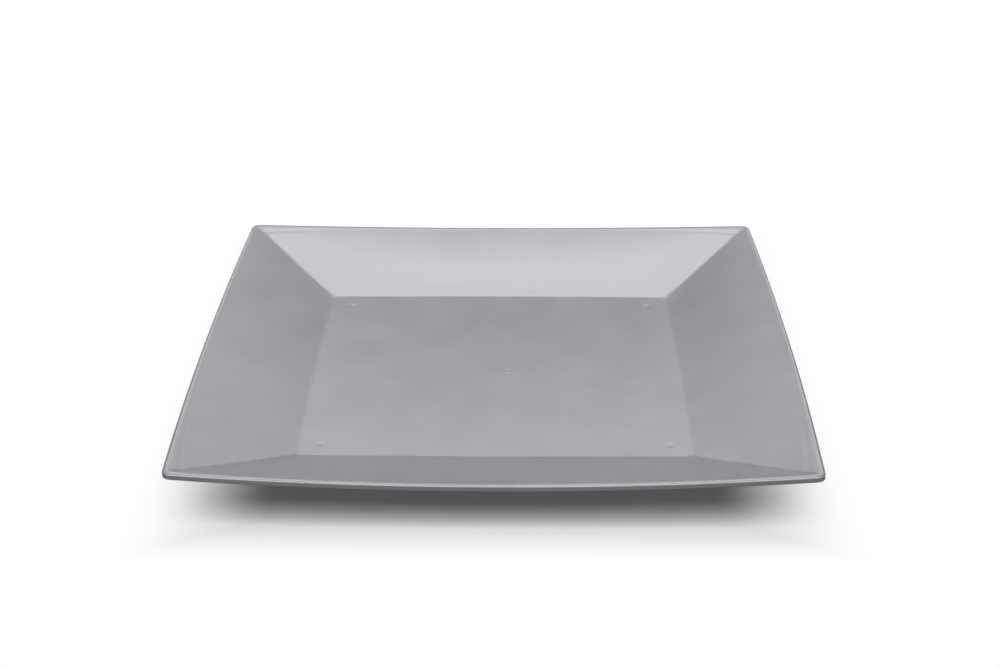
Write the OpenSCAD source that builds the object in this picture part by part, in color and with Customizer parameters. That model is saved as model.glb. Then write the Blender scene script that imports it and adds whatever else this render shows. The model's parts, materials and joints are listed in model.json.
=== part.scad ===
// Square dinner plate, moulded in one piece from grey polystyrene.
// Four sloping sides rise from a flat floor. Seen from above each side bows outwards, and
// its rim dips a little halfway along. The rim rolls over level and ends in a short skirt.
// Four small feet under the corners of the floor carry the plate.
// The origin is on the table under the middle of the plate, with Z up.

/* [Rim] */
// Width of the plate, halfway along its left and right sides
plate_w = 240; // [190:1:320]
// Depth of the plate, halfway along its front and back sides
plate_d = 240; // [190:1:320]
// How far each side bows out past the line between its corners
side_bow = 3.1; // [0:0.1:10]
// Height of the rim's corners above the floor
corner_rise = 17.4; // [10:0.1:40]
// How much lower the rim is halfway along each side
side_dip = 2.6; // [0:0.1:6]
// Rounding of the rim's corners, seen from above
rim_corner_r = 3.5; // [3:0.5:20]

/* [Floor] */
// Width of the flat floor from corner to corner
floor_w = 150.4; // [100:0.2:190]
// Depth of the flat floor from corner to corner
floor_d = 145.2; // [100:0.2:190]
// How far each edge of the floor bows out past its corners
floor_bow = 0.8; // [0:0.1:3]
// Rounding of the floor's corners, seen from above
floor_corner_r = 3; // [0.5:0.5:20]
// Thickness of the floor
floor_t = 1.4; // [0.8:0.1:3]
// Width of the blend on each side of the floor's edge
floor_blend = 0.8; // [0.2:0.1:4]

/* [Sides] */
// Thickness of the sloping sides
side_t = 1.4; // [0.8:0.1:3]
// How far the sides swell above a straight slope, halfway along
side_crown = 0.8; // [0:0.1:1.5]
// How far the valleys between the sides sink below a straight slope
valley_sag = 0.3; // [0:0.1:1]
// Rounding of the valleys where two sides meet, seen from above
valley_r = 1.2; // [0.5:0.1:4]
// Width of the flatter band below the roll, halfway along a side
band_side_w = 0.4; // [0.2:0.1:3]
// Width of the flatter band below the roll, at the corners
band_corner_w = 3.2; // [0.4:0.1:10]
// Slope of the flatter band, in degrees
band_angle = 20; // [10:1:24]
// Width of the roll that brings the rim level
roll_w = 2.2; // [1.6:0.1:2.4]
// Height that the rim gains over the roll
roll_rise = 0.18; // [0:0.02:0.5]
// Distance of the rim's crest from its outer edge
crest_in = 1; // [0.3:0.1:1.5]

/* [Skirt] */
// Height of the skirt that hangs round the rim
skirt_h = 2.2; // [1.8:0.1:8]
// Thickness of the skirt
skirt_t = 1.3; // [0.9:0.1:2]
// How far the rim rounds down from its crest to the skirt
skirt_top_r = 0.55; // [0.1:0.05:0.7]
// Rounding of the skirt's lower edge
skirt_low_r = 0.25; // [0.1:0.05:0.5]

/* [Feet] */
// Height of the feet below the floor
foot_h = 1; // [0.4:0.1:6]
// Diameter of a foot where it meets the floor
foot_d = 4.6; // [3:0.1:12]
// Diameter of a foot where it stands on the table
foot_tip_d = 4; // [2:0.1:12]
// Distance from the edges of the floor to the middle of a foot
foot_inset = 9; // [5:0.5:40]
// Diameter of the sink mark above a foot
sink_d = 5.2; // [2:0.1:12]
// Depth of the sink mark above a foot
sink_depth = 0.21; // [0.04:0.01:0.4]

/* [Gate] */
// Distance of the gate to the right of the middle
gate_x = 4; // [-40:0.5:40]
// Distance of the gate behind the middle
gate_y = -1.2; // [-40:0.1:40]
// Diameter of the trimmed gate under the floor
gate_d = 2.4; // [1:0.1:6]
// Height of the trimmed gate under the floor
gate_h = 0.4; // [0.1:0.1:0.9]
// Diameter of the stub that the gate leaves on the floor
stub_d = 1.4; // [0.8:0.1:3]
// Diameter of the stub's cut top
stub_tip_d = 0.8; // [0.4:0.1:2]
// Height of the stub above the floor
stub_h = 0.5; // [0.1:0.1:0.9]

/* [Hidden] */
// Steps along a side and round a corner
side_steps = 24;
corner_steps = 6;
// Shares of the way up a side at which its upper and lower faces have a loop of points
side_shares = [1/12, 1/4, 1/2, 3/4];
under_shares = [3/4, 1/2, 1/4, 1/12];
// How sharply the flatter band widens, and the valleys sink, towards the corners
corner_power = 4;
// Facets of round features
$fn = 64;
// Distance by which a foot or the gate runs into the floor that carries it
overrun = 0.3;
floor_z = foot_h + floor_t;
rim_w = plate_w - 2 * side_bow;
rim_d = plate_d - 2 * side_bow;
side_rise = corner_rise - side_dip;
side_run = (rim_w - floor_w) / 2 + side_bow - floor_bow;
side_slope = side_rise / side_run;
// Thickness of a side measured straight down
side_drop = side_t * sqrt(1 + side_slope * side_slope);
// Distance from the floor's upper edge out to its lower edge
under_shift = (side_drop - floor_t) / side_slope;

// Each edge is given side by side. Side 0 faces right, and the others follow it round.
// A point of an edge is [distance out, distance along, height], and s runs from -1 to 1.
function out_half(i, w, d) = (i % 2 == 0 ? w : d) / 2;
function along_half(i, w, d) = out_half(i + 1, w, d);
function bow_at(bow, s) = bow * (1 - s * s);
function corner_near(s) = pow(abs(s), corner_power);

// The floor's edge, moved out and lowered
function floor_edge(i, s, out, low) = [
    out_half(i, floor_w, floor_d) + out + bow_at(floor_bow, s),
    (along_half(i, floor_w, floor_d) + out) * s,
    floor_z - low
];

// The rim's edge, moved in and lowered, where end_in is the distance in at the corners
function rim_edge(i, s, in, end_in, low) = [
    out_half(i, rim_w, rim_d) - in + bow_at(side_bow, s),
    (along_half(i, rim_w, rim_d) - end_in) * s,
    floor_z + corner_rise - bow_at(side_dip, s) - low
];

// The line where a side meets the flatter band along the rim
function band_w(s) = band_side_w + (band_corner_w - band_side_w) * corner_near(s);
function band_edge(i, s) = rim_edge(
    i,
    s,
    roll_w + band_w(s),
    roll_w + band_corner_w,
    roll_rise + band_w(s) * tan(band_angle)
);

// The points of a side's upper and lower faces at a share of the way up
function swell_full(s) = bow_at(side_crown, s) - valley_sag * corner_near(s);
function swell(s, share) = [0, 0, swell_full(s) * 4 * share * (1 - share)];
function between(a, b, s, share) = a + (b - a) * share + swell(s, share);
function upper(i, s, share) = between(floor_edge(i, s, 0, 0), band_edge(i, s), s, share);
function lower(i, s, share) = between(
    floor_edge(i, s, under_shift, floor_t),
    rim_edge(i, s, skirt_t, skirt_t, roll_rise + side_drop),
    s,
    share
);

// The middle of a soft bend from a to c past b
function bend(a, b, c) = (a + 2 * b + c) / 4;

// Turns a point of side i to its place round the plate
function turned(i, p) =
    i % 4 == 0 ? p :
    i % 4 == 1 ? [-p[1], p[0], p[2]] :
    i % 4 == 2 ? [-p[0], -p[1], p[2]] :
    [p[1], -p[0], p[2]];

// A point on the curve that rounds the corner b between a and c
function rounded(a, b, c, t) = a * (1 - t) * (1 - t) + b * 2 * t * (1 - t) + c * t * t;

// How far along side i an edge runs before its corner of radius r begins
function straight(edge, i, r) = 1 - r / edge(i, 1)[1];

// One closed loop of points round the plate on an edge, with corners of radius r
function loop(edge, r) = [
    for (i = [0:3])
        let (
            end = straight(edge, i, r),
            next = straight(edge, i + 1, r),
            a = turned(i, edge(i, end)),
            b = turned(i, edge(i, 1)),
            c = turned(i + 1, edge(i + 1, -next))
        )
        each concat(
            [for (j = [0:side_steps]) turned(i, edge(i, end * (2 * j / side_steps - 1)))],
            [for (k = [1:corner_steps - 1]) rounded(a, b, c, k / corner_steps)]
        )
];

// A loop on the rim, moved in and lowered by fixed distances
function rim_loop(in, low) = loop(function (i, s) rim_edge(i, s, in, in, low), rim_corner_r - in);

function floor_loop(out, low) =
    loop(function (i, s) floor_edge(i, s, out, low), floor_corner_r);

// The soft bend between the floor and a side, above and below
function upper_bend(i, s) = bend(
    floor_edge(i, s, -floor_blend, 0),
    floor_edge(i, s, 0, 0),
    upper(i, s, floor_blend / side_run)
);
function lower_bend(i, s) = bend(
    floor_edge(i, s, under_shift - floor_blend, floor_t),
    floor_edge(i, s, under_shift, floor_t),
    lower(i, s, floor_blend / side_run)
);

// Every loop from the floor's upper face, over the rim and back to its lower face
round_share = 1 - sqrt(1/2);
loops = concat(
    [
        floor_loop(-floor_blend, 0),
        loop(function (i, s) upper_bend(i, s), floor_corner_r),
        loop(function (i, s) upper(i, s, floor_blend / side_run), floor_corner_r)
    ],
    [for (t = side_shares) loop(function (i, s) upper(i, s, t), valley_r)],
    [
        loop(function (i, s) band_edge(i, s), valley_r),
        rim_loop(roll_w, roll_rise),
        rim_loop((roll_w + crest_in) / 2, roll_rise / 4),
        rim_loop(crest_in, 0),
        rim_loop(crest_in * round_share, skirt_top_r * round_share),
        rim_loop(0, skirt_top_r),
        rim_loop(0, skirt_h - skirt_low_r),
        rim_loop(skirt_low_r * round_share, skirt_h - skirt_low_r * round_share),
        rim_loop(skirt_low_r, skirt_h),
        rim_loop(skirt_t, skirt_h),
        rim_loop(skirt_t, roll_rise + side_drop)
    ],
    [for (t = under_shares) loop(function (i, s) lower(i, s, t), valley_r)],
    [
        loop(function (i, s) lower(i, s, floor_blend / side_run), floor_corner_r),
        loop(function (i, s) lower_bend(i, s), floor_corner_r),
        floor_loop(under_shift - floor_blend, floor_t)
    ]
);

// Triangles between one loop and the next, and one face to close each end
loop_n = len(loops[0]);
last = len(loops) - 1;
skin_faces = [
    for (r = [0:last - 1], i = [0:loop_n - 1])
        let (
            a = r * loop_n + i,
            b = r * loop_n + (i + 1) % loop_n,
            c = b + loop_n,
            d = a + loop_n
        )
        each [[a, b, c], [a, c, d]]
];
floor_face = [for (i = [loop_n - 1:-1:0]) i];
under_face = [for (i = [0:loop_n - 1]) last * loop_n + i];

module shell() {
    polyhedron(points = [for (l = loops) each l], faces = concat(skin_faces, [floor_face, under_face]));
}

// Puts its children above or below each corner of the floor
module at_feet() {
    for (x = [-1, 1], y = [-1, 1])
        translate([x * (floor_w / 2 - foot_inset), y * (floor_d / 2 - foot_inset), 0])
            children();
}

// A round hollow in the floor, cut by a large ball
module hollow(d, depth) {
    ball_r = (d * d / 4 + depth * depth) / (2 * depth);
    translate([0, 0, floor_z - depth + ball_r])
        sphere(r = ball_r);
}

module foot() {
    cylinder(h = foot_h, d1 = foot_tip_d, d2 = foot_d);
    translate([0, 0, foot_h])
        cylinder(h = overrun, d = foot_d);
}

module trimmed_gate() {
    translate([gate_x, gate_y, foot_h - gate_h])
        cylinder(h = gate_h + overrun, d = gate_d);
    translate([gate_x, gate_y, floor_z - overrun])
        cylinder(h = overrun, d = stub_d);
    translate([gate_x, gate_y, floor_z])
        cylinder(h = stub_h, d1 = stub_d, d2 = stub_tip_d);
}

module plate() {
    color([0.66, 0.66, 0.68])
        difference() {
            union() {
                shell();
                at_feet() foot();
                trimmed_gate();
            }
            at_feet() hollow(sink_d, sink_depth);
        }
}

plate();
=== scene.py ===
import json
import math

import bpy
from mathutils import Matrix, Vector


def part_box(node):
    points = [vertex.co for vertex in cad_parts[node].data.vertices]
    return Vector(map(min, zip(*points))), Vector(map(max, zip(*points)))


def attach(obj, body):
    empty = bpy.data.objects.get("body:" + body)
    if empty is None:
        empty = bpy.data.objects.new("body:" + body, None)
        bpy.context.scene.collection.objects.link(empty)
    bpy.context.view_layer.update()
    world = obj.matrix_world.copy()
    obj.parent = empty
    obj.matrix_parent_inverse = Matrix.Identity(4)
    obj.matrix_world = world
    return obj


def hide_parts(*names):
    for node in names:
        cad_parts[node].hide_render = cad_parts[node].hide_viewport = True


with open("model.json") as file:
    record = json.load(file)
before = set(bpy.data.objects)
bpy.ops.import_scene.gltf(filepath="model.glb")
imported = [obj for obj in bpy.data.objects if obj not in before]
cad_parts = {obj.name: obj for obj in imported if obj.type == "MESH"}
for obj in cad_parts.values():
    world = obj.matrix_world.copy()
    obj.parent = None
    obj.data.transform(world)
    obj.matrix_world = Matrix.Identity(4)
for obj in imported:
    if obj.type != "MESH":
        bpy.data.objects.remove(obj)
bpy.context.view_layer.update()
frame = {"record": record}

# The plate: one injection moulding in silver-grey polystyrene, about 1.4 mm thick all over. Four
# sides rise from a flat floor to a rim that rolls level and ends in a short skirt. It was fed
# through a gate near the middle of the floor, and stands on four feet that leave sink marks.

mm = 0.001
lowest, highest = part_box("plate")
mounts = {mount["name"]: mount["pos_m"] for mount in frame["record"]["mounts"]}
foot_x, foot_y, table_z = mounts["foot_back_right"]
floor_z = mounts["floor_top"][2]

floor_w = 150.4 * mm
floor_d = 145.2 * mm
floor_bow = 0.8 * mm
floor_corner_r = 3 * mm
floor_t = 1.4 * mm
floor_blend = 0.8 * mm

side_bow = 3.1 * mm
side_dip = 2.6 * mm
side_t = 1.4 * mm
side_crown = 0.8 * mm
valley_sag = 0.3 * mm
valley_r = 1.2 * mm
rim_corner_r = 3.5 * mm
rim_w = highest.x - lowest.x - 2 * side_bow
rim_d = highest.y - lowest.y - 2 * side_bow
corner_rise = 17.4 * mm

band_side_w = 0.4 * mm
band_corner_w = 3.2 * mm
band_slope = math.tan(math.radians(20))
band_power = 4
groove_w = 2.2 * mm
groove_depth = 0.15 * mm

roll_w = 2.2 * mm
roll_rise = 0.18 * mm
crest_in = 1 * mm
skirt_h = 2.2 * mm
skirt_t = 1.3 * mm
skirt_top_r = 0.55 * mm
skirt_low_r = 0.25 * mm
inner_r = 0.5 * mm

foot_h = floor_z - floor_t - table_z
foot_d = 4.6 * mm
sink_d = 5.2 * mm
sink_depth = 0.21 * mm
gate_x = 4 * mm
gate_y = -1.2 * mm
gate_d = 2.4 * mm
gate_h = 0.4 * mm
stub_d = 1.2 * mm
stub_h = 0.5 * mm


def linear(hex_colour):
    """An sRGB colour such as #a0a0a4 as linear red, green, blue and alpha."""
    channels = [int(hex_colour[i:i + 2], 16) / 255 for i in (1, 3, 5)]
    return (*(c / 12.92 if c <= 0.04045 else ((c + 0.055) / 1.055) ** 2.4 for c in channels), 1.0)


def add(tree, kind, inputs=(), out=None, **settings):
    """Adds a node with its settings and links, and returns its output named out, or its first.

    inputs gives, by place or by name, the value or the feeding socket of each socket in use.
    """
    node = tree.nodes.new(kind)
    for name, value in settings.items():
        setattr(node, name, value)
    sockets = [socket for socket in node.inputs if socket.enabled]
    for key, value in inputs.items() if isinstance(inputs, dict) else enumerate(inputs):
        socket = sockets[key] if isinstance(key, int) else next(s for s in sockets if s.name == key)
        for source in value if isinstance(value, list) else [value]:
            if isinstance(source, bpy.types.NodeSocket):
                tree.links.new(source, socket)
            else:
                socket.default_value = source
    return next((o for o in node.outputs if o.enabled and out in (None, o.name)), None)


def start_tree(name, inputs, outputs):
    """A new Geometry Nodes tree with named sockets, and the sockets that bring its inputs in."""
    tree = bpy.data.node_groups.new(name, "GeometryNodeTree")
    for direction, sockets in (("INPUT", inputs), ("OUTPUT", outputs)):
        for socket_name, kind in sockets.items():
            tree.interface.new_socket(socket_name, in_out=direction, socket_type="NodeSocket" + kind)
    return tree, tree.nodes.new("NodeGroupInput").outputs


MATH = "ShaderNodeMath"

# Silver-grey polystyrene with aluminium flake in it, moulded in a spark-eroded tool: the flake
# gives a soft sheen that shows where the plastic flowed, and the fine grain spreads it to satin
satin = bpy.data.materials.new("silver_grey_polystyrene")
satin.use_nodes = True
skin = satin.node_tree
skin.nodes.clear()
dark_tone = "#adadb2"
light_tone = "#bababf"
place = add(skin, "ShaderNodeTexCoord", out="Object")

# The gate's blush: a broken, barely paler ring where the first plastic swirled beside the gate
from_gate = add(
    skin, "ShaderNodeMapping", {"Vector": place, "Location": (-gate_x, -gate_y, 0), "Scale": (1, 1, 0)}
)
blush_r = 2.8 * mm
blush_w = 1.1 * mm
blush_share = 0.7
blush_least = 0.2
ring_place = add(skin, "ShaderNodeVectorMath", (from_gate, (blush_r, 0, 0)), operation="SUBTRACT")
ring_r = add(skin, "ShaderNodeVectorMath", (ring_place,), "Value", operation="LENGTH")
ring_off = add(skin, MATH, (ring_r, blush_r), operation="SUBTRACT")
ring_gap = add(skin, MATH, (ring_off,), operation="ABSOLUTE")
ring = add(
    skin, "ShaderNodeMapRange", (ring_gap, 0.0, blush_w, blush_share, 0.0), interpolation_type="SMOOTHSTEP"
)
swirl_size = 3 * mm
swirl = add(skin, "ShaderNodeTexNoise", {"Vector": from_gate, "Scale": 1 / swirl_size, "Detail": 1.0})
swirl_share = add(skin, "ShaderNodeMapRange", (swirl, 0.4, 0.6, blush_least, 1.0))
blush = add(skin, MATH, (ring, swirl_share), operation="MULTIPLY")

# Flow lines: streaks of more or less aligned flake that fan out from the gate
streaks_round = 56
streak_l = 60 * mm
streak_scale = streaks_round / (2 * math.pi)
heading = add(skin, "ShaderNodeVectorMath", (from_gate,), operation="NORMALIZE")
run = add(skin, "ShaderNodeVectorMath", (from_gate,), "Value", operation="LENGTH")
run_scaled = add(skin, MATH, (run, 1 / (streak_l * streak_scale)), operation="MULTIPLY")
streak_run = add(skin, "ShaderNodeCombineXYZ", (0.0, 0.0, run_scaled))
streak_place = add(skin, "ShaderNodeVectorMath", (heading, streak_run), operation="ADD")
streaks = add(skin, "ShaderNodeTexNoise", {"Vector": streak_place, "Scale": streak_scale, "Detail": 3.0})

# Mottle: patches a few centimetres across where the plastic cooled a little sooner or later. The
# streaks and the patches together shift the tone and the gloss a little.
mottle_size = 22 * mm
streak_share = 0.25
pattern_low = 0.35
pattern_high = 0.65
tone_share = 0.5
gloss_low = 0.29
gloss_high = 0.34
mottle = add(
    skin, "ShaderNodeTexNoise", {"Vector": place, "Scale": 1 / mottle_size, "Detail": 3.0, "Roughness": 0.45}
)
pattern = add(skin, "ShaderNodeMix", (streak_share, mottle, streaks))
tone = add(skin, "ShaderNodeMapRange", (pattern, pattern_low, pattern_high, 0.0, tone_share))
tone_blushed = add(skin, MATH, (tone, blush), operation="ADD", use_clamp=True)
moulded_colour = add(
    skin, "ShaderNodeMix", (tone_blushed, linear(dark_tone), linear(light_tone)), data_type="RGBA"
)

# Painted highlight: a near-white dot painted at the gate, over the stub's top and the pad beneath it, stands
# in for the bright spot that the stub's top catches
painted_highlight_tone = "#f0f0f2"
painted_highlight_r = 0.42 * mm
painted_highlight_fade = 0.09 * mm
painted_highlight = add(skin, "ShaderNodeMapRange", (run, painted_highlight_r, painted_highlight_r + painted_highlight_fade, 1.0, 0.0))
colour = add(skin, "ShaderNodeMix", (painted_highlight, moulded_colour, linear(painted_highlight_tone)), data_type="RGBA")

gloss = add(skin, "ShaderNodeMapRange", (pattern, pattern_low, pattern_high, gloss_low, gloss_high))

# The tool's grain is under 0.1 mm, and is drawn coarser so that it shows. The slow waves are
# those of a thin wall that shrank as it cooled.
grain_size = 0.5 * mm
grain_h = 0.008 * mm
wave_size = 14 * mm
wave_h = 0.03 * mm
grain = add(skin, "ShaderNodeTexNoise", {"Vector": place, "Scale": 1 / grain_size, "Detail": 2.0})
waves = add(skin, "ShaderNodeTexNoise", {"Vector": place, "Scale": 1 / wave_size, "Detail": 0.0})
grained = add(skin, "ShaderNodeBump", {"Height": grain, "Distance": grain_h})
wavy = add(skin, "ShaderNodeBump", {"Height": waves, "Distance": wave_h, "Normal": grained})
surface = add(
    skin,
    "ShaderNodeBsdfPrincipled",
    {"Base Color": colour, "Metallic": 0.3, "Roughness": gloss, "IOR": 1.59, "Normal": wavy},
)
add(skin, "ShaderNodeOutputMaterial", {"Surface": surface})

# The section through the wall, from the floor's upper face over the rim to its lower face. Each
# point is a share of the way from the floor's edge to the rim's, with a shift from each edge. Near
# the floor the rounding of the corners, seen from above, fades from the floor's to the valleys'.
side_run = (rim_w - floor_w) / 2 + side_bow - floor_bow
side_slope = (corner_rise - side_dip) / side_run
side_drop = side_t * math.hypot(1, side_slope)
under_shift = (side_drop - floor_t) / side_slope
blend_share = floor_blend / side_run
crease_in = roll_w + band_side_w
crease_low = roll_rise + band_side_w * band_slope
groove_share = groove_w / side_run
under_low = roll_rise + side_drop

flat_step = 0.6 * mm
flat_steps = 2
bend_steps = 6
side_steps = 20
groove_steps = 6
band_steps = 8
roll_steps = 8
round_steps = 8
face_steps = 3

corner_fade = 12

section = []


def point(share, floor_in=0.0, floor_low=0.0, rim_in=0.0, rim_low=0.0, band=0.0, groove=0.0):
    """Adds a point to the section: its shifts in and down, and its shares of band and groove."""
    section.append(
        {
            "share": share,
            "floor_shift": (-floor_in, 0, -floor_low),
            "rim_shift": (-rim_in, 0, -rim_low),
            "floor_radius": valley_r + (floor_corner_r - valley_r) * (1 - share) ** corner_fade,
            "rim_radius": valley_r * band + (rim_corner_r - min(rim_in, skirt_t)) * (1 - band),
            "band": band,
            "groove": groove,
        }
    )


for i in range(flat_steps):
    point(0, floor_blend + (flat_steps - i) * flat_step)
for i in range(bend_steps):
    t = i / bend_steps
    point(blend_share * t * t, floor_blend * (1 - t) ** 2, 0, crease_in, crease_low, 1)
for i in range(side_steps):
    t = i / side_steps
    point(blend_share + (1 - groove_share - blend_share) * t, 0, 0, crease_in, crease_low, 1)
# The groove sinks towards the crease, and is gone halfway across the flatter band
for i in range(groove_steps):
    t = i / groove_steps
    point(1 - groove_share * (1 - t), 0, 0, crease_in, crease_low, 1, math.sin(t * math.pi / 2) ** 2)
for i in range(band_steps):
    t = 1 - i / band_steps
    point(1, 0, 0, roll_w + band_side_w * t, roll_rise + band_side_w * t * band_slope, t, max(0, 2 * t - 1))
for i in range(roll_steps):
    t = 1 - i / roll_steps
    point(1, 0, 0, crest_in + (roll_w - crest_in) * t, roll_rise * t * t)
for i in range(round_steps):
    t = math.pi / 2 * i / round_steps
    point(1, 0, 0, crest_in * (1 - math.sin(t)), skirt_top_r * (1 - math.cos(t)))
for i in range(face_steps):
    t = i / face_steps
    point(1, 0, 0, 0, skirt_top_r + (skirt_h - skirt_low_r - skirt_top_r) * t)
for i in range(round_steps):
    t = math.pi / 2 * i / round_steps
    point(1, 0, 0, skirt_low_r * (1 - math.cos(t)), skirt_h - skirt_low_r * (1 - math.sin(t)))
point(1, 0, 0, skirt_low_r, skirt_h)
for i in range(round_steps):
    t = math.pi / 2 * i / round_steps
    point(1, 0, 0, skirt_t - skirt_low_r * (1 - math.sin(t)), skirt_h - skirt_low_r * (1 - math.cos(t)))
point(1, 0, 0, skirt_t, skirt_h - skirt_low_r)
for i in range(bend_steps):
    t = i / bend_steps
    point(
        1 - inner_r / side_run * t * t, -under_shift, floor_t,
        skirt_t, under_low + inner_r * (1 - t) ** 2,
    )
for i in range(side_steps):
    t = 1 - i / side_steps
    point(blend_share + (1 - inner_r / side_run - blend_share) * t, -under_shift, floor_t, skirt_t, under_low)
for i in range(bend_steps + 1):
    t = 1 - i / bend_steps
    point(blend_share * t * t, floor_blend * (1 - t) ** 2 - under_shift, floor_t, skirt_t, under_low)
for i in range(flat_steps):
    point(0, floor_blend + (1 + i) * flat_step - under_shift, floor_t)

wall = bpy.data.meshes.new("wall_section")
wall.from_pydata(
    [(p["share"], 0, 0) for p in section],
    [(i, i + 1) for i in range(len(section) - 1)],
    [],
)
for name, first in section[0].items():
    kind, field = ("FLOAT_VECTOR", "vector") if isinstance(first, tuple) else ("FLOAT", "value")
    attribute = wall.attributes.new(name, kind, "POINT")
    for item, p in zip(attribute.data, section):
        setattr(item, field, p[name])

# One edge that runs round the plate. A point on side 0 is out, along and up. Place runs from -1
# to 1 along the straight stretch, and Leaving and Arriving blend the corner into the next side.
edge, given = start_tree(
    "Edge round the plate",
    {
        "Half": "Vector",
        "Height": "Float",
        "Bow": "Float",
        "Dip": "Float",
        "Corner radius": "Float",
        "Place": "Float",
        "Leaving": "Float",
        "Arriving": "Float",
    },
    {"Point": "Vector"},
)
half_out = add(edge, "ShaderNodeSeparateXYZ", (given["Half"],), "X")
half_along = half_out.node.outputs["Y"]
corner_share = add(edge, MATH, (given["Corner radius"], half_along), operation="DIVIDE")
straight_share = add(edge, MATH, (1.0, corner_share), operation="SUBTRACT")
s = add(edge, MATH, (given["Place"], straight_share), operation="MULTIPLY")
s_squared = add(edge, MATH, (s, s), operation="MULTIPLY")
fullness = add(edge, MATH, (1.0, s_squared), operation="SUBTRACT")
bow = add(edge, MATH, (given["Bow"], fullness), operation="MULTIPLY")
bowed_out = add(edge, MATH, (bow, given["Leaving"], half_out), operation="MULTIPLY_ADD")
cut_off = add(edge, MATH, (given["Corner radius"], given["Arriving"]), operation="MULTIPLY")
out = add(edge, MATH, (bowed_out, cut_off), operation="SUBTRACT")
straight_along = add(edge, MATH, (half_along, s), operation="MULTIPLY")
turned_share = add(edge, MATH, (1.0, given["Leaving"]), operation="SUBTRACT")
round_along = add(
    edge, MATH, (given["Corner radius"], turned_share, straight_along), operation="MULTIPLY_ADD"
)
along = add(edge, MATH, (bow, given["Arriving"], round_along), operation="MULTIPLY_ADD")
dip = add(edge, MATH, (given["Dip"], fullness), operation="MULTIPLY")
both_sides = add(edge, MATH, (given["Leaving"], given["Arriving"]), operation="ADD")
lowered = add(edge, MATH, (dip, both_sides), operation="MULTIPLY")
up = add(edge, MATH, (given["Height"], lowered), operation="SUBTRACT")
add(edge, "NodeGroupOutput", (add(edge, "ShaderNodeCombineXYZ", (out, along, up)),))

# A round mark in a flat face: a hollow or a foot inside a narrow flat ring, and its outline. A
# steep mark is flat inside a rounded edge, and a shallow one falls away softly like a bell.
mark, given = start_tree(
    "Round mark",
    {"Radius": "Float", "Steepness": "Float", "Height": "Float"},
    {"Mark": "Geometry", "Outline": "Geometry"},
)
mark_facets = 32
mark_rings = 12
mark_flat_w = 0.3 * mm
steepness_times_softness = 4.0
outline_r = add(mark, MATH, (given["Radius"], mark_flat_w), operation="ADD")
outline = add(mark, "GeometryNodeCurvePrimitiveCircle", {"Resolution": mark_facets, "Radius": outline_r})
radius_line = add(
    mark,
    "GeometryNodeResampleCurve",
    {"Curve": add(mark, "GeometryNodeCurvePrimitiveLine"), "Count": mark_rings + 1},
)
index = add(mark, "GeometryNodeInputIndex")
around = add(
    mark, "GeometryNodeStoreNamedAttribute", {"Geometry": outline, "Name": "facet", "Value": index}
)
inward = add(
    mark, "GeometryNodeStoreNamedAttribute", {"Geometry": radius_line, "Name": "ring", "Value": index}
)
disc = add(mark, "GeometryNodeCurveToMesh", {"Curve": around, "Profile Curve": inward})
ring = add(mark, "GeometryNodeInputNamedAttribute", ("ring",))
facet = add(mark, "GeometryNodeInputNamedAttribute", ("facet",))
angle = add(mark, MATH, (facet, 2 * math.pi / mark_facets), operation="MULTIPLY")
quarter_turn = add(mark, "ShaderNodeMapRange", (ring, 0.0, mark_rings - 1.0, 0.0, math.pi / 2))
reach = add(mark, MATH, (quarter_turn,), operation="SINE")
flat = add(mark, "ShaderNodeMapRange", (ring, mark_rings - 1.0, float(mark_rings), 0.0, mark_flat_w))
radius = add(mark, MATH, (given["Radius"], reach, flat), operation="MULTIPLY_ADD")

# At a share r of the radius the height is (1 - r ** steepness) ** softness of the full one
fall = add(mark, MATH, (reach, given["Steepness"]), operation="POWER")
remainder = add(mark, MATH, (1.0, fall), operation="SUBTRACT", use_clamp=True)
softness = add(mark, MATH, (steepness_times_softness, given["Steepness"]), operation="DIVIDE")
swell = add(mark, MATH, (remainder, softness), operation="POWER")
rise = add(mark, MATH, (given["Height"], swell), operation="MULTIPLY")
spoke = add(mark, "ShaderNodeCombineXYZ", (radius, 0.0, rise))
spun = add(mark, "ShaderNodeVectorRotate", {"Vector": spoke, "Angle": angle}, rotation_type="Z_AXIS")
disc = add(mark, "GeometryNodeSetPosition", {"Geometry": disc, "Position": spun})
add(mark, "NodeGroupOutput", (disc, outline))

# A flat face inside an outline, with a round mark at each corner and one at the gate
face, given = start_tree(
    "Flat face with marks",
    {
        "Outline": "Geometry",
        "Height": "Float",
        "Corner place": "Vector",
        "Corner mark": "Vector",
        "Gate place": "Vector",
        "Gate mark": "Vector",
    },
    {"Face": "Geometry"},
)
discs = []
outlines = [given["Outline"]]
corner_place = add(face, "ShaderNodeSeparateXYZ", (given["Corner place"],), "X")
corner_w = add(face, MATH, (corner_place, 2.0), operation="MULTIPLY")
corner_d = add(face, MATH, (corner_place.node.outputs["Y"], 2.0), operation="MULTIPLY")
corners = add(face, "GeometryNodeMeshGrid", (corner_w, corner_d, 2, 2))
gate_point = add(face, "GeometryNodePoints", {"Count": 1, "Position": given["Gate place"]})
for places, size in ((corners, given["Corner mark"]), (gate_point, given["Gate mark"])):
    mark_r = add(face, "ShaderNodeSeparateXYZ", (size,), "X")
    made = add(
        face,
        "GeometryNodeGroup",
        {
            "Radius": mark_r,
            "Steepness": mark_r.node.outputs["Y"],
            "Height": mark_r.node.outputs["Z"],
        },
        node_tree=mark,
    ).node
    for shape, found in ((made.outputs["Mark"], discs), (made.outputs["Outline"], outlines)):
        found.append(add(face, "GeometryNodeInstanceOnPoints", {"Points": places, "Instance": shape}))
holed = add(
    face,
    "GeometryNodeFillCurve",
    (add(face, "GeometryNodeRealizeInstances", (add(face, "GeometryNodeJoinGeometry", (outlines,)),)),),
)
joined = add(face, "GeometryNodeJoinGeometry", ([holed] + discs,))
raised = add(
    face,
    "GeometryNodeSetPosition",
    {
        "Geometry": add(face, "GeometryNodeRealizeInstances", (joined,)),
        "Offset": add(face, "ShaderNodeCombineXYZ", (0.0, 0.0, given["Height"])),
    },
)
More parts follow.
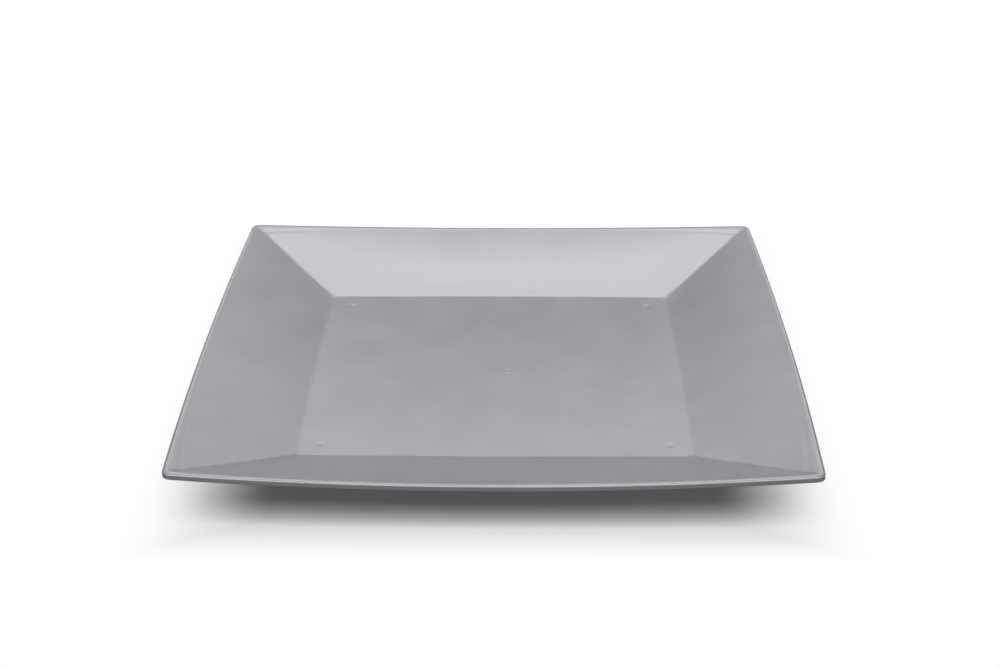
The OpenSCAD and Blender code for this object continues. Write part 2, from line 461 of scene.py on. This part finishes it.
add(face, "NodeGroupOutput", (raised,))

# The whole moulding: the section goes round the plate, and the two flat faces close it. The size
# of a mark is its radius, its steepness and its height.
steep = 8.0
shallow = 2.0
sizes = {
    "Floor size": ("Vector", (floor_w, floor_d, 0)),
    "Floor height": ("Float", floor_z),
    "Floor thickness": ("Float", floor_t),
    "Floor bow": ("Float", floor_bow),
    "Rim size": ("Vector", (rim_w, rim_d, 0)),
    "Corner rise": ("Float", corner_rise),
    "Side bow": ("Float", side_bow),
    "Side dip": ("Float", side_dip),
    "Side crown": ("Float", side_crown),
    "Valley sag": ("Float", valley_sag),
    "Band gain": ("Float", band_corner_w - band_side_w),
    "Band slope": ("Float", band_slope),
    "Band power": ("Float", float(band_power)),
    "Groove depth": ("Float", groove_depth),
    "Straight steps": ("Int", 96),
    "Corner steps": ("Int", 14),
    "Foot place": ("Vector", (foot_x, foot_y, 0)),
    "Foot": ("Vector", (foot_d / 2, steep, -foot_h)),
    "Sink mark": ("Vector", (sink_d / 2, shallow, -sink_depth)),
    "Gate place": ("Vector", (gate_x, gate_y, 0)),
    "Gate stub": ("Vector", (stub_d / 2, steep, stub_h)),
    "Gate pad": ("Vector", (gate_d / 2, steep, -gate_h)),
    "Material": ("Material", satin),
}
moulding, given = start_tree(
    "Moulded plate",
    {"Section": "Geometry"} | {name: kind for name, (kind, _) in sizes.items()},
    {"Plate": "Geometry"},
)
steps_a_side = add(moulding, MATH, (given["Straight steps"], given["Corner steps"]), operation="ADD")
path = add(
    moulding,
    "GeometryNodeCurvePrimitiveCircle",
    {"Resolution": add(moulding, MATH, (steps_a_side, 4.0), operation="MULTIPLY")},
)
path = add(
    moulding,
    "GeometryNodeStoreNamedAttribute",
    {"Geometry": path, "Name": "step", "Value": add(moulding, "GeometryNodeInputIndex")},
)
profile = add(moulding, "GeometryNodeMeshToCurve", (given["Section"],))
shell = add(moulding, "GeometryNodeCurveToMesh", {"Curve": path, "Profile Curve": profile})

step = add(moulding, "GeometryNodeInputNamedAttribute", ("step",))
turns = add(moulding, MATH, (step, steps_a_side), operation="DIVIDE")
side = add(moulding, MATH, (turns,), operation="FLOOR")
side_step = add(moulding, MATH, (step, steps_a_side), operation="MODULO")
place = add(moulding, "ShaderNodeMapRange", (side_step, 0.0, given["Straight steps"], -1.0, 1.0))
turn = add(
    moulding, "ShaderNodeMapRange", (side_step, given["Straight steps"], steps_a_side, 0.0, 1.0)
)
unturned = add(moulding, MATH, (1.0, turn), operation="SUBTRACT")
leaving = add(moulding, MATH, (unturned, unturned), operation="MULTIPLY")
arriving = add(moulding, MATH, (turn, turn), operation="MULTIPLY")
odd_side = add(moulding, MATH, (side, 2.0), operation="MODULO")

# The flatter band along the rim widens sharply towards the corners, and the groove beside it and
# the valleys deepen in the same way
from_middle = add(moulding, MATH, (place,), operation="ABSOLUTE")
corner_near = add(moulding, MATH, (from_middle, given["Band power"]), operation="POWER")
band = add(moulding, "GeometryNodeInputNamedAttribute", ("band",))
band_gain = add(moulding, MATH, (given["Band gain"], corner_near), operation="MULTIPLY")
band_in = add(moulding, MATH, (band_gain, band), operation="MULTIPLY")
band_drop = add(moulding, MATH, (band_in, given["Band slope"]), operation="MULTIPLY")

edges = []
for name, size, height, radius, bow_name, dip_value, moved_in, lowered_by in (
    (
        "floor_shift",
        given["Floor size"],
        0.0,
        add(moulding, "GeometryNodeInputNamedAttribute", ("floor_radius",)),
        "Floor bow",
        0.0,
        0.0,
        0.0,
    ),
    (
        "rim_shift",
        given["Rim size"],
        given["Corner rise"],
        add(moulding, "GeometryNodeInputNamedAttribute", ("rim_radius",)),
        "Side bow",
        given["Side dip"],
        band_in,
        band_drop,
    ),
):
    shift = add(
        moulding,
        "ShaderNodeSeparateXYZ",
        (add(moulding, "GeometryNodeInputNamedAttribute", (name,), data_type="FLOAT_VECTOR"),),
        "X",
    )
    out_shift = add(moulding, MATH, (shift, moved_in), operation="SUBTRACT")
    up_shift = add(moulding, MATH, (shift.node.outputs["Z"], lowered_by), operation="SUBTRACT")
    lengths = add(moulding, "ShaderNodeSeparateXYZ", (size,), "X")
    crossed = add(moulding, "ShaderNodeCombineXYZ", (lengths.node.outputs["Y"], lengths, 0.0))
    facing = add(moulding, "GeometryNodeSwitch", (odd_side, size, crossed), input_type="VECTOR")
    half = add(
        moulding,
        "ShaderNodeVectorMath",
        (facing, (0.5, 0.5, 0), add(moulding, "ShaderNodeCombineXYZ", (out_shift, out_shift, 0.0))),
        operation="MULTIPLY_ADD",
    )
    edges.append(
        add(
            moulding,
            "GeometryNodeGroup",
            {
                "Half": half,
                "Height": add(moulding, MATH, (up_shift, height), operation="ADD"),
                "Bow": given[bow_name],
                "Dip": dip_value,
                "Corner radius": radius,
                "Place": place,
                "Leaving": leaving,
                "Arriving": arriving,
            },
            node_tree=edge,
        )
    )

share = add(moulding, "GeometryNodeInputNamedAttribute", ("share",))
straight_wall = add(moulding, "ShaderNodeMix", (share, *edges), data_type="VECTOR")
share_left = add(moulding, MATH, (1.0, share), operation="SUBTRACT")
swell_share = add(moulding, MATH, (share, share_left), operation="MULTIPLY")
full_swell = add(moulding, MATH, (swell_share, 4.0), operation="MULTIPLY")
place_squared = add(moulding, MATH, (place, place), operation="MULTIPLY")
middle_near = add(moulding, MATH, (1.0, place_squared), operation="SUBTRACT")
crown = add(moulding, MATH, (given["Side crown"], middle_near), operation="MULTIPLY")
sag = add(moulding, MATH, (given["Valley sag"], corner_near), operation="MULTIPLY")
net_swell = add(moulding, MATH, (crown, sag), operation="SUBTRACT")
swell = add(moulding, MATH, (net_swell, full_swell), operation="MULTIPLY")
groove = add(moulding, "GeometryNodeInputNamedAttribute", ("groove",))
groove_here = add(moulding, MATH, (groove, corner_near), operation="MULTIPLY")
groove_fall = add(moulding, MATH, (groove_here, given["Groove depth"]), operation="MULTIPLY")
raised = add(moulding, MATH, (swell, groove_fall), operation="SUBTRACT")
up = add(moulding, MATH, (raised, given["Floor height"]), operation="ADD")
wall_point = add(
    moulding,
    "ShaderNodeVectorMath",
    (straight_wall, add(moulding, "ShaderNodeCombineXYZ", (0.0, 0.0, up))),
    operation="ADD",
)
side_angle = add(moulding, MATH, (side, math.pi / 2), operation="MULTIPLY")
turned = add(
    moulding, "ShaderNodeVectorRotate", {"Vector": wall_point, "Angle": side_angle}, rotation_type="Z_AXIS"
)
shell = add(moulding, "GeometryNodeSetPosition", {"Geometry": shell, "Position": turned})

# The shell's two open ends are the outlines of the floor's upper and lower faces
faces_at_edge = add(moulding, "GeometryNodeInputMeshEdgeNeighbors")
is_open = add(moulding, "FunctionNodeCompare", (faces_at_edge, 1), data_type="INT", operation="EQUAL")
ends = add(moulding, "GeometryNodeMeshToCurve", (shell, is_open))
height = add(
    moulding, "ShaderNodeSeparateXYZ", (add(moulding, "GeometryNodeInputPosition"),), "Z"
)
half_t = add(moulding, MATH, (given["Floor thickness"], 0.5), operation="MULTIPLY")
middle = add(moulding, MATH, (given["Floor height"], half_t), operation="SUBTRACT")
under = add(moulding, MATH, (given["Floor height"], given["Floor thickness"]), operation="SUBTRACT")
is_upper = add(moulding, "FunctionNodeCompare", (height, middle), operation="GREATER_THAN")
upper_end = add(moulding, "GeometryNodeSeparateGeometry", (ends, is_upper))
faces = []
for outline, height, corner_mark, gate_mark in (
    (upper_end, given["Floor height"], "Sink mark", "Gate stub"),
    (upper_end.node.outputs["Inverted"], under, "Foot", "Gate pad"),
):
    faces.append(
        add(
            moulding,
            "GeometryNodeGroup",
            {
                "Outline": outline,
                "Height": height,
                "Corner place": given["Foot place"],
                "Corner mark": given[corner_mark],
                "Gate place": given["Gate place"],
                "Gate mark": given[gate_mark],
            },
            node_tree=face,
        )
    )
upper_face, lower_face = faces
lower_face = add(moulding, "GeometryNodeFlipFaces", (lower_face,))
plate_parts = add(moulding, "GeometryNodeJoinGeometry", ([shell, upper_face, lower_face],))
weld = 0.01 * mm
closed = add(moulding, "GeometryNodeMergeByDistance", {"Geometry": plate_parts, "Distance": weld})
smooth = add(moulding, "GeometryNodeSetShadeSmooth", (closed,))
whole = add(moulding, "GeometryNodeRealizeInstances", (smooth,))
finished = add(moulding, "GeometryNodeSetMaterial", {"Geometry": whole, "Material": given["Material"]})
add(moulding, "NodeGroupOutput", (finished,))

plate = bpy.data.objects.new("moulded_plate", wall)
bpy.context.scene.collection.objects.link(plate)
modifier = plate.modifiers.new("Moulded plate", "NODES")
modifier.node_group = moulding
for item in moulding.interface.items_tree:
    if item.in_out == "INPUT" and item.name in sizes:
        modifier[item.identifier] = sizes[item.name][1]
moulded = bpy.data.meshes.new_from_object(plate.evaluated_get(bpy.context.evaluated_depsgraph_get()))
for name in (*section[0], "step", "facet", "ring"):
    if name in moulded.attributes:
        moulded.attributes.remove(moulded.attributes[name])
plate.modifiers.remove(modifier)
plate.data = moulded
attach(plate, "root")
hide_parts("plate")

# The table: a wide sheet of matt white paper. From below it is clear, so that the feet show. Painted light:
# for the camera, white is painted over the sheet. A little of it lies over the whole shadow, and more grows
# with distance from the plate's middle, each fade running between two distances towards the sides, the front
# and the back. So the plate's shadow stays near its front middle, is painted out under its sides and behind
# it, and plain white lies further off.
paper_half = 3.0
painted_light_in_shadow = 0.07
painted_light_fades = {"sides": (0.08, 0.135), "front": (0.114, 0.143), "back": (0.1, 0.16)}
paper_mesh = bpy.data.meshes.new("white_paper_sheet")
paper_mesh.from_pydata(
    [(x * paper_half, y * paper_half, table_z) for x, y in ((-1, -1), (1, -1), (1, 1), (-1, 1))],
    [],
    [(0, 1, 2, 3)],
)
paper = bpy.data.objects.new("white_paper_sheet", paper_mesh)
bpy.context.scene.collection.objects.link(paper)
white = bpy.data.materials.new("white_paper")
white.use_nodes = True
sheet = white.node_tree
sheet.nodes.clear()
paper_x = add(
    sheet, "ShaderNodeSeparateXYZ", (add(sheet, "ShaderNodeTexCoord", out="Object"),), "X"
)
paper_y = paper_x.node.outputs["Y"]
fades = []
for reach, (first, last) in (
    (add(sheet, MATH, (paper_x,), operation="ABSOLUTE"), painted_light_fades["sides"]),
    (add(sheet, MATH, (paper_y, -1.0), operation="MULTIPLY"), painted_light_fades["front"]),
    (paper_y, painted_light_fades["back"]),
):
    fades.append(
        add(
            sheet,
            "ShaderNodeMapRange",
            (reach, first, last, painted_light_in_shadow, 1.0),
            interpolation_type="SMOOTHSTEP",
        )
    )
# Painted light: how much white the camera sees painted over the sheet at each place
away = add(sheet, MATH, (add(sheet, MATH, fades[:2], operation="MAXIMUM"), fades[2]), operation="MAXIMUM")
seen = add(sheet, "ShaderNodeLightPath", out="Is Camera Ray")
painted_light = add(sheet, MATH, (away, seen), operation="MULTIPLY")

# What the sheet throws back at the plate is the light of grey paper, which keeps the skirt dark
bounce_tone = "#787878"
paper_tone = "#f0f0f0"
paper_colour = add(
    sheet, "ShaderNodeMix", (seen, linear(bounce_tone), linear(paper_tone)), data_type="RGBA"
)
matt = add(sheet, "ShaderNodeBsdfPrincipled", {"Base Color": paper_colour, "Roughness": 0.9})
# The painted white light, laid over the matt paper by that share
painted_white = add(sheet, "ShaderNodeEmission")
paper_look = add(sheet, "ShaderNodeMixShader", (painted_light, matt, painted_white))

# A ray that meets the sheet from below passes it, and so does the rest of its path
from_below = add(sheet, "ShaderNodeNewGeometry", out="Backfacing")
passed = add(sheet, "ShaderNodeLightPath", out="Transparent Depth")
see_through = add(sheet, MATH, (from_below, passed), operation="ADD", use_clamp=True)
clear = add(sheet, "ShaderNodeBsdfTransparent")
both_faces = add(sheet, "ShaderNodeMixShader", (see_through, paper_look, clear))
add(sheet, "ShaderNodeOutputMaterial", {"Surface": both_faces})
paper_mesh.materials.append(white)

# The camera: where the photograph was taken from, a little to the left of the plate's middle,
# looking down at it at about 26 degrees. The values come from a fit to the plate's edges.
focal_px = 1728.5
photo_w = 1000
sensor_w = 36.0
camera_pitch = math.radians(25.648)
camera_roll = math.radians(0.116)
plate_turn = math.radians(0.693)
camera_distance = 750.43 * mm
aim = Vector((1.174 * mm, 34.503 * mm, floor_z))

camera_data = bpy.data.cameras.new("camera")
camera_data.sensor_width = sensor_w
camera_data.lens = focal_px / photo_w * sensor_w
camera_data.clip_end = 100
camera = bpy.data.objects.new("camera", camera_data)
bpy.context.scene.collection.objects.link(camera)
back_off = Vector((0, -math.cos(camera_pitch), math.sin(camera_pitch))) * camera_distance
camera.matrix_world = (
    Matrix.Rotation(plate_turn, 4, "Z")
    @ Matrix.Translation(aim + back_off)
    @ Matrix.Rotation(math.pi / 2 - camera_pitch, 4, "X")
    @ Matrix.Rotation(-camera_roll, 4, "Z")
)
bpy.context.scene.camera = camera

# The light: softboxes hang level over the front and the back of the table, and three more stand
# upright behind it, in a room that is otherwise dark. One below the table shows only from below.
# Brightness 1 is that of white paper.
softboxes = {
    "softbox_front": {"place": (0, -0.445, 0.62), "tilt": 0, "size": (1.2, 0.71), "brightness": 2.36},
    "softbox_over_back": {"place": (0, 0.356, 0.59), "tilt": 0, "size": (0.51, 0.18), "brightness": 2.32},
    "softbox_far_back": {"place": (0, 0.534, 0.58), "tilt": 0, "size": (0.51, 0.53), "brightness": 1.17},
    "softbox_behind": {"place": (0, 0.8, 0.48), "tilt": -90, "size": (0.6, 0.2), "brightness": 0.82},
    "softbox_behind_left": {"place": (-0.31, 0.8, 0.32), "tilt": -90, "size": (0.2, 0.2), "brightness": 2.4},
    "softbox_behind_right": {"place": (0.31, 0.8, 0.32), "tilt": -90, "size": (0.2, 0.2), "brightness": 2.4},
    "softbox_below": {"place": (0, 0, -0.6), "tilt": 180, "size": (1.2, 1.2), "brightness": 1.0},
}
for name, box in softboxes.items():
    softbox = bpy.data.lights.new(name, "AREA")
    softbox.shape = "RECTANGLE"
    softbox.size, softbox.size_y = box["size"]
    softbox.energy = math.pi * softbox.size * softbox.size_y * box["brightness"]
    hung = bpy.data.objects.new(name, softbox)
    hung.location = box["place"]
    hung.rotation_euler = (math.radians(box["tilt"]), 0, 0)
    hung.visible_camera = False
    bpy.context.scene.collection.objects.link(hung)

room_brightness = 0.03
room = bpy.data.worlds.new("studio")
room.use_nodes = True
walls = room.node_tree
walls.nodes.clear()
seen = add(walls, "ShaderNodeLightPath", out="Is Camera Ray")
shown = add(walls, "ShaderNodeMapRange", (seen, 0.0, 1.0, room_brightness, 1.0))
backdrop = add(walls, "ShaderNodeBackground", {"Color": linear("#ffffff"), "Strength": shown})
add(walls, "ShaderNodeOutputWorld", {"Surface": backdrop})
bpy.context.scene.world = room

bpy.context.scene.view_settings.view_transform = "Standard"
